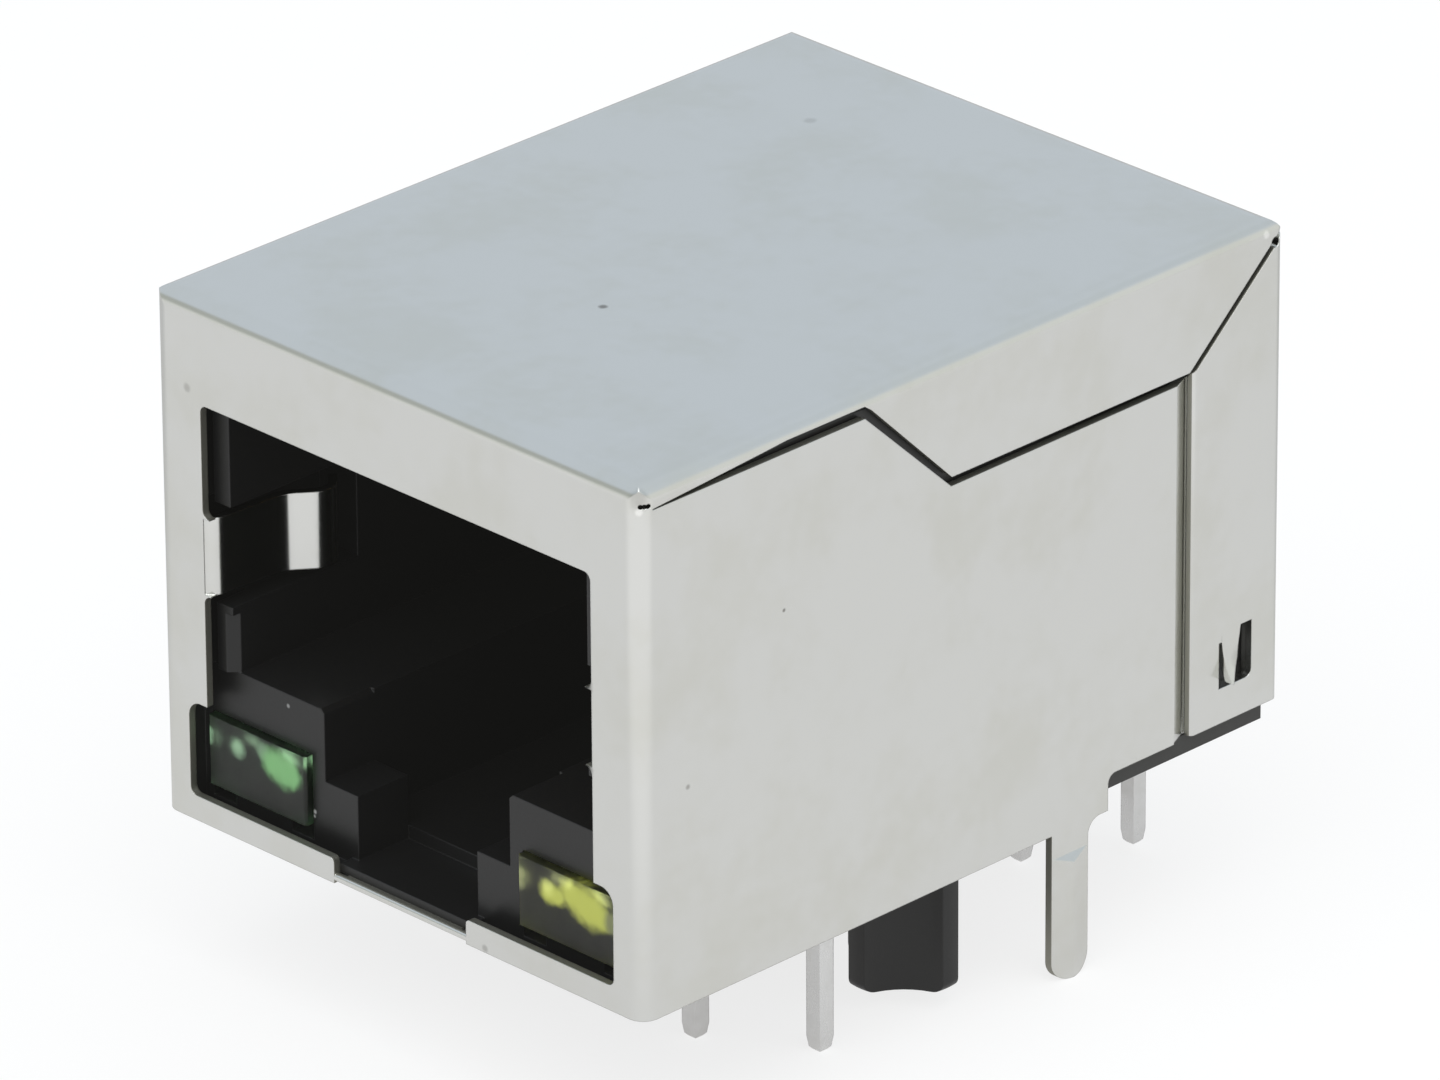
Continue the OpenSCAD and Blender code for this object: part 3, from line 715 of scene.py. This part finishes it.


# tones of the painted highlights and the painted shade on the shell
PAINTED_HIGHLIGHT = (1.0, 1.0, 0.97)
SHADED = (0.02, 0.02, 0.02)
SHELL_MARKS = (
    # specks on the top
    SpeckOrPaintedLight((0.41, FRONT_Y + 6.34, TOP_Z), 0.16, 0.75),
    SpeckOrPaintedLight((-3.65, FRONT_Y + 17.17, TOP_Z), 0.22, 0.2),
    # specks on the right side
    SpeckOrPaintedLight((HALF_WIDTH, FRONT_Y + 4.57, 8.9), 0.07, 0.7),
    SpeckOrPaintedLight((HALF_WIDTH, FRONT_Y + 1.48, 5.53), 0.1, 0.45),
    # specks on the front
    SpeckOrPaintedLight((-6.85, FRONT_Y, 11.15), 0.16, 0.3),
    SpeckOrPaintedLight((2.83, FRONT_Y, 0.11), 0.14, 0.35),
    # painted shade on the front corner and on the lock tongue
    SpeckOrPaintedLight((HALF_WIDTH, FRONT_Y, 13.14), 0.46, 0.34),
    SpeckOrPaintedLight((8.1, FRONT_Y + 19.62, 2.5), 0.4, 0.25),
    SpeckOrPaintedLight((8.25, FRONT_Y + 19.66, 2.15), 0.4, 0.35),
    # painted highlights on the bottom bar, the front corner and the rear corner
    SpeckOrPaintedLight((-2.82, FRONT_Y, 0.93), 0.14, 0.9, PAINTED_HIGHLIGHT),
    SpeckOrPaintedLight((7.87, FRONT_Y + 0.13, 12.8), 0.13, 0.9, PAINTED_HIGHLIGHT),
    SpeckOrPaintedLight((HALF_WIDTH, FRONT_Y + 20.5, 13.09), 0.14, 0.95, PAINTED_HIGHLIGHT),
    # shade at the roots of the right ground finger
    SpeckOrPaintedLight((6.22, FRONT_Y + 0.05, 5.92), 0.3, 1.0, SHADED),
    SpeckOrPaintedLight((6.22, FRONT_Y + 0.05, 8.03), 0.3, 1.0, SHADED),
)

PALE_SPECK_AND_GLINT = (0.42, 0.42, 0.42)
# a pale speck above the green lamp, and painted glints by its lower right corner
HOUSING_SPECKS = (
    SpeckOrPaintedLight((-4.29, HOUSING_Y, 3.65), 0.075, 0.6, PALE_SPECK_AND_GLINT),
    SpeckOrPaintedLight((-3.45, HOUSING_Y, 1.2), 0.08, 0.9, PALE_SPECK_AND_GLINT),
    SpeckOrPaintedLight((-3.47, HOUSING_Y, 1.08), 0.06, 0.9, PALE_SPECK_AND_GLINT),
)

# colours of the painted glow of each lamp's reflector cup and leads
GREEN_CUP_GLOW, GREEN_PALE_GLOW = (0.165, 0.39, 0.15), (0.13, 0.22, 0.135)
GREEN_GLINTS = (
    Glint(0.03, 1.16, 0.2, GREEN_PALE_GLOW),
    Glint(0.03, 1.36, 0.2, GREEN_PALE_GLOW),
    Glint(1.02, 1.22, 0.34, GREEN_PALE_GLOW),
    Glint(1.88, 1.44, 0.34, GREEN_PALE_GLOW),
    Glint(2.23, 1.26, 0.56, GREEN_CUP_GLOW),
    Glint(2.58, 1.18, 0.62, GREEN_CUP_GLOW),
    Glint(2.85, 1.14, 0.42, GREEN_CUP_GLOW),
)
YELLOW_CUP_GLOW, YELLOW_PALE_GLOW = (0.42, 0.46, 0.08), (0.16, 0.175, 0.08)
YELLOW_GLINTS = (
    Glint(0.09, 1.09, 0.24, YELLOW_PALE_GLOW),
    Glint(0.09, 1.34, 0.24, YELLOW_PALE_GLOW),
    Glint(1.04, 1.17, 0.42, YELLOW_CUP_GLOW),
    Glint(1.32, 1.16, 0.34, YELLOW_CUP_GLOW),
    Glint(1.72, 1.39, 0.48, YELLOW_CUP_GLOW),
    Glint(2.09, 1.28, 0.66, YELLOW_CUP_GLOW),
    Glint(2.45, 1.18, 0.66, YELLOW_CUP_GLOW),
    Glint(2.77, 1.09, 0.42, YELLOW_CUP_GLOW),
    Glint(3.09, 1.09, 0.4, YELLOW_PALE_GLOW),
)

Finish = Plating | Moulding | Resin | Metal | Coated

FINISHES: dict[Slot, Finish] = {
    Slot.SHIELD: Plating((0.80, 0.805, 0.78), (0.75, 0.75, 0.70), 0.16, SHELL_MARKS),
    Slot.HOUSING: Moulding((0.0055, 0.0055, 0.006), 0.36, HOUSING_SPECKS),
    Slot.INSERT: Moulding((0.006, 0.006, 0.0065), 0.42),
    Slot.BASE: Moulding((0.034, 0.034, 0.032), 0.5),
    Slot.CONTACT: Metal((0.86, 0.66, 0.32), (0.70, 0.52, 0.26), 0.2, (1.0, 8.0, 1.0)),
    Slot.TINNED: Metal((0.86, 0.865, 0.86), (0.74, 0.74, 0.72), 0.26),
    Slot.FERRITE: Coated((0.03, 0.032, 0.035), (0.05, 0.052, 0.056), 0.45),
    Slot.ENAMEL: Coated((0.42, 0.12, 0.035), (0.52, 0.17, 0.05), 0.25, 0.6),
    Slot.LAMINATE: Coated((0.012, 0.085, 0.035), (0.02, 0.11, 0.05), 0.35, 0.5, 0.4, True),
    Slot.CAPACITOR: Coated((0.40, 0.27, 0.15), (0.46, 0.33, 0.2), 0.4),
    Slot.RESISTOR: Coated((0.012, 0.012, 0.014), (0.02, 0.02, 0.022), 0.3, 0.4),
    Slot.GREEN: Resin((0.50, 0.78, 0.49), "green_lamp", GREEN_GLINTS),
    Slot.YELLOW: Resin((0.78, 0.83, 0.38), "yellow_lamp", YELLOW_GLINTS),
}


# ---- Mesh helpers --------------------------------------------------------------


def finish_piece(mesh: bmesh.types.BMesh, name: str, material: bpy.types.Material) -> bpy.types.Object:
    """Turns a bmesh in millimetres into a piece that rides on the jack.

    Args:
        mesh: The shape, in millimetres in the part's own frame; it is freed.
        name: Name of the piece.
        material: Its finish.

    Returns:
        The new object.
    """
    bmesh.ops.remove_doubles(mesh, verts=mesh.verts, dist=1e-4)
    bmesh.ops.recalc_face_normals(mesh, faces=mesh.faces)
    bmesh.ops.scale(mesh, verts=mesh.verts, vec=(MM, MM, MM))
    data = bpy.data.meshes.new(name)
    mesh.to_mesh(data)
    mesh.free()
    data.shade_smooth()
    data.set_sharp_from_angle(angle=math.radians(CREASE))
    data.materials.append(material)
    piece = bpy.data.objects.new(name, data)
    bpy.context.scene.collection.objects.link(piece)
    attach(piece, ROOT)
    LOG.info("piece %s: %d faces", name, len(data.polygons))
    return piece


def add_block(mesh: bmesh.types.BMesh, low: Point, high: Point, bevel: float, segments: int = 2) -> None:
    """Adds a block with rounded edges.

    Args:
        mesh: The bmesh it is added to.
        low: Lowest corner.
        high: Highest corner.
        bevel: Width of the edge rounding.
        segments: Steps in the rounding.
    """
    size = [b - a for a, b in zip(low, high)]
    place = Matrix.Translation([(a + b) / 2 for a, b in zip(low, high)]) @ Matrix.Diagonal((*size, 1.0))
    verts = bmesh.ops.create_cube(mesh, size=1.0, matrix=place)["verts"]
    edges = list({edge for vert in verts for edge in vert.link_edges})
    bmesh.ops.bevel(mesh, geom=edges, offset=bevel, segments=segments, profile=0.5, affect="EDGES",
                    material=-1)


def swept_wire(route: list[Vector], radius: float) -> bmesh.types.BMesh:
    """Sweeps a round wire along a route.

    Args:
        route: Points along the middle of the wire, in millimetres.
        radius: Radius of the wire.

    Returns:
        The wire as a bmesh, in millimetres.
    """
    curve = bpy.data.curves.new("route", "CURVE")
    curve.dimensions = "3D"
    curve.bevel_depth = radius
    curve.bevel_resolution = 2
    curve.use_fill_caps = True
    spline = curve.splines.new("POLY")
    spline.points.add(len(route) - 1)
    for point, place in zip(spline.points, route):
        point.co = (*place, 1.0)
    holder = bpy.data.objects.new("route", curve)
    swept = holder.to_mesh()
    mesh = bmesh.new()
    mesh.from_mesh(swept)
    holder.to_mesh_clear()
    bpy.data.objects.remove(holder)
    bpy.data.curves.remove(curve)
    return mesh


# ---- Sub-assemblies --------------------------------------------------------------


@dataclass
class PackedParts:
    """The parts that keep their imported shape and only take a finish."""

    materials: dict[Slot, bpy.types.Material]
    nodes: dict[str, bpy.types.Object]
    slots: dict[str, str]

    def dress(self) -> None:
        """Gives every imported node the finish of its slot."""
        for name, node in self.nodes.items():
            finish = self.materials[Slot(self.slots[name])]
            node.data.materials[0] = finish
            LOG.info("node %s: %s", name, finish.name)


@dataclass
class LampFrame:
    """Lead frame cast into a lamp body: a reflector cup on one lead and an anvil on the other."""

    lamp: str
    materials: dict[Slot, bpy.types.Material]
    anvil_half: float = 0.3
    setback: float = 0.6
    headroom: float = 0.12
    cup_at: float = 2.3
    cup_size: Point = (0.6, 0.4, 0.34)
    cup_rise: float = 0.06
    cup_lean: float = 24.0
    clear_left: float = 0.1
    clear_right: float = 0.08
    clear_above: float = 0.08
    anvil_at: float = 0.95
    anvil_height: float = 0.4
    anvil_depth: Span = (0.3, 0.7)
    anvil_drop: float = 0.2
    anvil_rounding: float = 0.14
    lead_half_gap: float = 1.27
    lead_half: float = 0.2
    lead_setback: float = 0.45
    lead_end: float = 0.02
    lead_rounding: float = 0.05

    def build(self) -> None:
        """Models the frame inside the lamp's box."""
        low, high = node_box(self.lamp)
        front, top = low.y + self.setback, high.z - self.headroom
        mesh = bmesh.new()
        cup_z = top - self.cup_size[2] + self.cup_rise
        self._cup(mesh, Vector((low.x + self.cup_at, front + self.cup_size[1], cup_z)))
        anvil_x = low.x + self.anvil_at
        anvil_front, anvil_back = (front + depth for depth in self.anvil_depth)
        add_block(mesh, (anvil_x - self.anvil_half, anvil_front, top - self.anvil_height - self.anvil_drop),
                  (anvil_x + self.anvil_half, anvil_back, top - self.anvil_drop), self.anvil_rounding, 3)
        middle, level = (low.x + high.x) / 2, (low.z + high.z) / 2
        lead_front, lead_back = front + self.lead_setback, high.y - self.lead_end
        for x in (middle - self.lead_half_gap, middle + self.lead_half_gap):
            add_block(mesh, (x - self.lead_half, lead_front, level - self.lead_half),
                      (x + self.lead_half, lead_back, level + self.lead_half), self.lead_rounding)
        finish_piece(mesh, self.lamp + "_frame", self.materials[Slot.TINNED])

    def _cup(self, mesh: bmesh.types.BMesh, middle: Vector) -> None:
        """Models the cup, which stays within the clear body.

        Args:
            mesh: The bmesh it is added to.
            middle: Middle of the cup.
        """
        low, high = node_box(self.lamp)
        turn = Matrix.Rotation(math.radians(self.cup_lean), 4, "Y")
        place = Matrix.Translation(middle) @ turn @ Matrix.Diagonal((*self.cup_size, 1.0))
        cup = bmesh.ops.create_uvsphere(mesh, u_segments=40, v_segments=24, radius=1.0, matrix=place)
        for vert in cup["verts"]:
            vert.co.x = min(max(vert.co.x, low.x + self.clear_left), high.x - self.clear_right)
            vert.co.z = min(vert.co.z, high.z - self.clear_above)


@dataclass
class CoilWinding:
    """One layer of enamelled wire wound round a ring core, with its two tails up to the board."""

    number: int
    materials: dict[Slot, bpy.types.Material]
    ring: float = 1.1
    layer: float = 0.475
    wire: float = 0.068
    elbow: float = 0.11
    turns: int = 21
    steps: int = 16
    gap: float = 60.0
    bend: float = 0.35
    bend_at: float = 0.8
    bend_step: float = 15.0
    bend_steps: int = 5

    def build(self) -> None:
        """Winds the coil and sets it in place of its packed stand-in."""
        node = f"coil_winding_{self.number}"
        piece = finish_piece(swept_wire(self._route(node), self.wire), f"coil_turns_{self.number}",
                             self.materials[Slot.ENAMEL])
        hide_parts(node)

    def _route(self, node: str) -> list[Vector]:
        """Follows the wire from one tail, round the core and out to the other tail.

        Args:
            node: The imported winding, whose box gives the tails' reach and height.

        Returns:
            Points along the middle of the wire.
        """
        core_low, core_high = node_box(f"coil_core_{self.number}")
        low, high = node_box(node)
        middle = (core_low + core_high) / 2
        reach, top = (high.x - low.x) / 2 - self.elbow, high.z - middle.z
        count = self.turns * self.steps
        # the gap between the winding's ends faces down
        start, swept = math.radians(self.gap / 2 - 90.0), math.radians(360.0 - self.gap)
        wound = []
        for step in range(count + 1):
            along = start + swept * step / count
            about = 2 * math.pi * step / self.steps
            out = self.ring + self.layer * math.cos(about)
            wound.append(Vector((out * math.cos(along), self.layer * math.sin(about), out * math.sin(along))))
        tails = [self._tail(side, reach, top) for side in (1, -1)]
        return [middle + point for point in [*tails[0], *wound, *reversed(tails[1])]]

    def _tail(self, side: int, reach: float, top: float) -> list[Vector]:
        """Follows one tail down from the board and round its bend towards the core.

        Args:
            side: 1 for the right tail, -1 for the left one.
            reach: How far the tail stands from the middle.
            top: Height of its upper end above the middle.

        Returns:
            Points along the middle of the wire, from the middle of the core.
        """
        route = [Vector((side * reach, 0.0, top))]
        for step in range(self.bend_steps + 1):
            turn = math.radians(-self.bend_step * step)
            out = reach - self.bend + self.bend * math.cos(turn)
            route.append(Vector((side * out, 0.0, self.bend * math.sin(turn) - self.bend_at)))
        return route


# ---- Studio ------------------------------------------------------------------------


@dataclass(frozen=True)
class Lamp:
    """A soft area lamp aimed at the jack."""

    name: str
    azimuth: float
    elevation: float
    distance: float
    size: float
    power: float


@dataclass(frozen=True)
class Flag:
    """A soft round patch of another tone in the sky, seen only in reflections."""

    towards: Point
    radius: float
    softness: float
    tone: Colour

    def edge(self) -> Span:
        """Returns the cosines of the angles at the soft edge's outer and inner side."""
        outer, inner = (math.radians(self.radius + side * self.softness) for side in (1.0, -1.0))
        return math.cos(outer), math.cos(inner)


@dataclass
class Studio:
    """Lit table, soft lamps, and a bluish sky that is brighter near the horizon, but for behind the jack."""

    floor_z: float
    floor_radius: float = 0.6
    floor_colour: Colour = (0.80, 0.80, 0.79)
    floor_wear: float = 0.97
    floor_glow: float = 0.80
    shadow_share: float = 0.25
    table_share: float = 0.3
    table_far: float = 0.34
    table_near: float = 0.512
    table_rise: float = 0.115
    near_step: Span = (-30.0, 0.0)
    rise_step: Span = (22.0, 50.0)
    table_tint: Colour = (0.97, 0.955, 0.95)
    horizon: Colour = (0.75, 0.765, 0.74)
    upper: Colour = (0.60, 0.655, 0.715)
    sky_back: Point = (-0.707, 0.707, 0.0)
    back_fade: Span = (0.2, 0.6)
    rise_fade: Span = (0.22, 0.42)
    flags: tuple[Flag, ...] = (
        Flag((-0.640, -0.715, 0.280), 9.0, 5.0, (0.42, 0.44, 0.415)),
        Flag((0.495, 0.635, 0.593), 10.0, 6.0, (0.56, 0.615, 0.665)),
        Flag((0.575, -0.575, 0.582), 30.0, 10.0, (0.50, 0.52, 0.50)),
    )
    lamps: tuple[Lamp, ...] = (
        Lamp("key", 20.0, 62.0, 0.35, 0.36, 0.62),
        Lamp("fill", 100.0, 55.0, 0.4, 0.36, 0.32),
    )

    def build(self) -> None:
        """Makes the floor, the sky and the lamps."""
        self._floor()
        self._sky()
        for lamp in self.lamps:
            self._lamp(lamp)

    def _floor(self) -> None:
        """Makes a round floor that the camera sees only from above."""
        mesh = bmesh.new()
        bmesh.ops.create_circle(mesh, cap_ends=True, segments=64, radius=self.floor_radius,
                                matrix=Matrix.Translation((0.0, 0.0, self.floor_z)))
        data = bpy.data.meshes.new("studio_floor")
        mesh.to_mesh(data)
        mesh.free()
        data.materials.append(self._floor_finish())
        floor = bpy.data.objects.new("studio_floor", data)
        bpy.context.scene.collection.objects.link(floor)

    def _floor_finish(self) -> bpy.types.Material:
        """Builds a pale matt finish with soft shadows, which the jack reflects as a darker table.

        Returns:
            The Blender material.
        """
        material = bpy.data.materials.new("studio_floor")
        material.use_nodes = True
        graph = Graph(material.node_tree)
        seen = graph.add("LightPath").outputs["Is Camera Ray"]
        worn = tuple(c * self.floor_wear for c in self.floor_colour)
        tone = graph.mix(graph.noise(graph.millimetres(), scale=0.02), rgba(self.floor_colour), rgba(worn))
        matt = graph.add("BsdfDiffuse", {"Color": tone}).outputs[0]
        hue = graph.mix(seen, rgba(self.table_tint), rgba(WHITE))
        glow = graph.add("Emission", {"Color": hue, "Strength": self._floor_level(graph, seen)}).outputs[0]
        share = graph.ramp(seen, 0.0, 1.0, 1.0 - self.table_share, 1.0 - self.shadow_share)
        shown = graph.add("MixShader", {0: share, 1: matt, 2: glow}).outputs[0]
        hidden = graph.math("MULTIPLY", graph.add("NewGeometry").outputs["Backfacing"], seen)
        clear = graph.add("BsdfTransparent").outputs[0]
        surface = graph.add("MixShader", {0: hidden, 1: shown, 2: clear}).outputs[0]
        graph.add("OutputMaterial", {"Surface": surface})
        return material

    def _floor_level(self, graph: Graph, seen: Value) -> Socket:
        """Builds the strength of the floor's glow.

        The mix with the matt shader scales the glow, so each level is divided by the glow's own share.

        Args:
            graph: The floor's graph.
            seen: Mask of the camera's own rays.

        Returns:
            The strength.
        """
        place = graph.split(graph.millimetres())
        reach = graph.math("SUBTRACT", place["X"], place["Y"])
        table = graph.math("ADD", graph.ramp(reach, *self.near_step, self.table_far, self.table_near),
                           graph.ramp(reach, *self.rise_step, 0.0, self.table_rise))
        reflected = graph.math("DIVIDE", table, 1.0 - self.table_share)
        shown = self.floor_glow / (1.0 - self.shadow_share)
        return graph.add("Mix", {0: seen, 2: reflected, 3: shown}).outputs[0]

    def _sky(self) -> None:
        """Makes a sky that camera rays see as plain white."""
        world = bpy.data.worlds.new("studio_sky")
        bpy.context.scene.world = world
        world.use_nodes = True
        graph = Graph(world.node_tree)
        towards = graph.add("TexCoord").outputs["Generated"]
        behind = graph.vector("DOT_PRODUCT", towards, self.sky_back)
        low = graph.mix(graph.ramp(behind, *self.back_fade), rgba(self.horizon), rgba(self.upper))
        sky = graph.mix(graph.ramp(graph.split(towards)["Z"], *self.rise_fade), low, rgba(self.upper))
        for flag in self.flags:
            near = graph.vector("DOT_PRODUCT", towards, flag.towards)
            sky = graph.mix(graph.ramp(near, *flag.edge()), sky, rgba(flag.tone))
        seen = graph.mix(graph.add("LightPath").outputs["Is Camera Ray"], sky, rgba(WHITE))
        glow = graph.add("Background", {"Color": seen, "Strength": 1.0})
        graph.add("OutputWorld", {"Surface": glow.outputs[0]})

    @staticmethod
    def _lamp(lamp: Lamp) -> None:
        """Makes one area lamp, aimed at the middle of the jack.

        Args:
            lamp: Where it stands, its size and its power.
        """
        data = bpy.data.lights.new(lamp.name, "AREA")
        data.size = lamp.size
        data.energy = lamp.power
        light = bpy.data.objects.new(lamp.name, data)
        away = direction(lamp.azimuth, lamp.elevation)
        light.location = (CAD_LOW + CAD_HIGH) / 2 + away * lamp.distance
        light.rotation_euler = (-away).to_track_quat("-Z", "Y").to_euler()
        bpy.context.scene.collection.objects.link(light)


def direction(azimuth: float, elevation: float) -> Vector:
    """Returns the unit vector towards a place round the jack; azimuth 0 is in front of its opening."""
    turn, rise = math.radians(azimuth), math.radians(elevation)
    return Vector((math.sin(turn) * math.cos(rise), -math.cos(turn) * math.cos(rise), math.sin(rise)))


@dataclass(frozen=True)
class View:
    """The camera: a long lens three-quarter view from the front right."""

    azimuth: float = 45.265
    elevation: float = 25.504
    roll: float = -0.357
    distance: float = 324.89
    lens: float = 347.97
    aim: Point = (0.0, -0.217, 6.728)
    aside: float = 0.0387
    lowered: float = 0.694

    def build(self) -> None:
        """Makes the camera and sets it as the scene's own."""
        data = bpy.data.cameras.new("view")
        data.sensor_width = 36.0
        data.lens = self.lens
        data.clip_start = 0.01
        data.clip_end = 10.0
        away = direction(self.azimuth, self.elevation)
        turn = math.radians(self.azimuth)
        right = Vector((math.cos(turn), math.sin(turn), 0.0))
        up = away.cross(right)
        tilt = math.radians(self.roll)
        side = right * math.cos(tilt) + up * math.sin(tilt)
        head = up * math.cos(tilt) - right * math.sin(tilt)
        place = Vector(self.aim) - side * self.aside - head * self.lowered + away * self.distance
        camera = bpy.data.objects.new("view", data)
        axes = Matrix((side, head, away)).transposed().to_4x4()
        camera.matrix_world = Matrix.Translation(place * MM) @ axes
        bpy.context.scene.collection.objects.link(camera)
        bpy.context.scene.camera = camera


def main() -> None:
    """Builds the finishes, the pieces, the studio and the camera."""
    logging.basicConfig(level=logging.INFO, format="%(message)s")
    View().build()
    kit = GroupKit()
    materials = {slot: finish.build(slot, kit) for slot, finish in FINISHES.items()}
    slots = {part["node"]: part["material_slot"] for part in frame["record"]["subparts"]}
    PackedParts(materials, frame["nodes"], slots).dress()
    LampFrame("green_lamp", materials).build()
    LampFrame("yellow_lamp", materials, anvil_half=0.4).build()
    for number in COILS:
        CoilWinding(number, materials).build()
    Studio(floor_z=CAD_LOW.z).build()
    bpy.context.scene.view_settings.view_transform = "Standard"


if __name__ == "__main__":
    main()
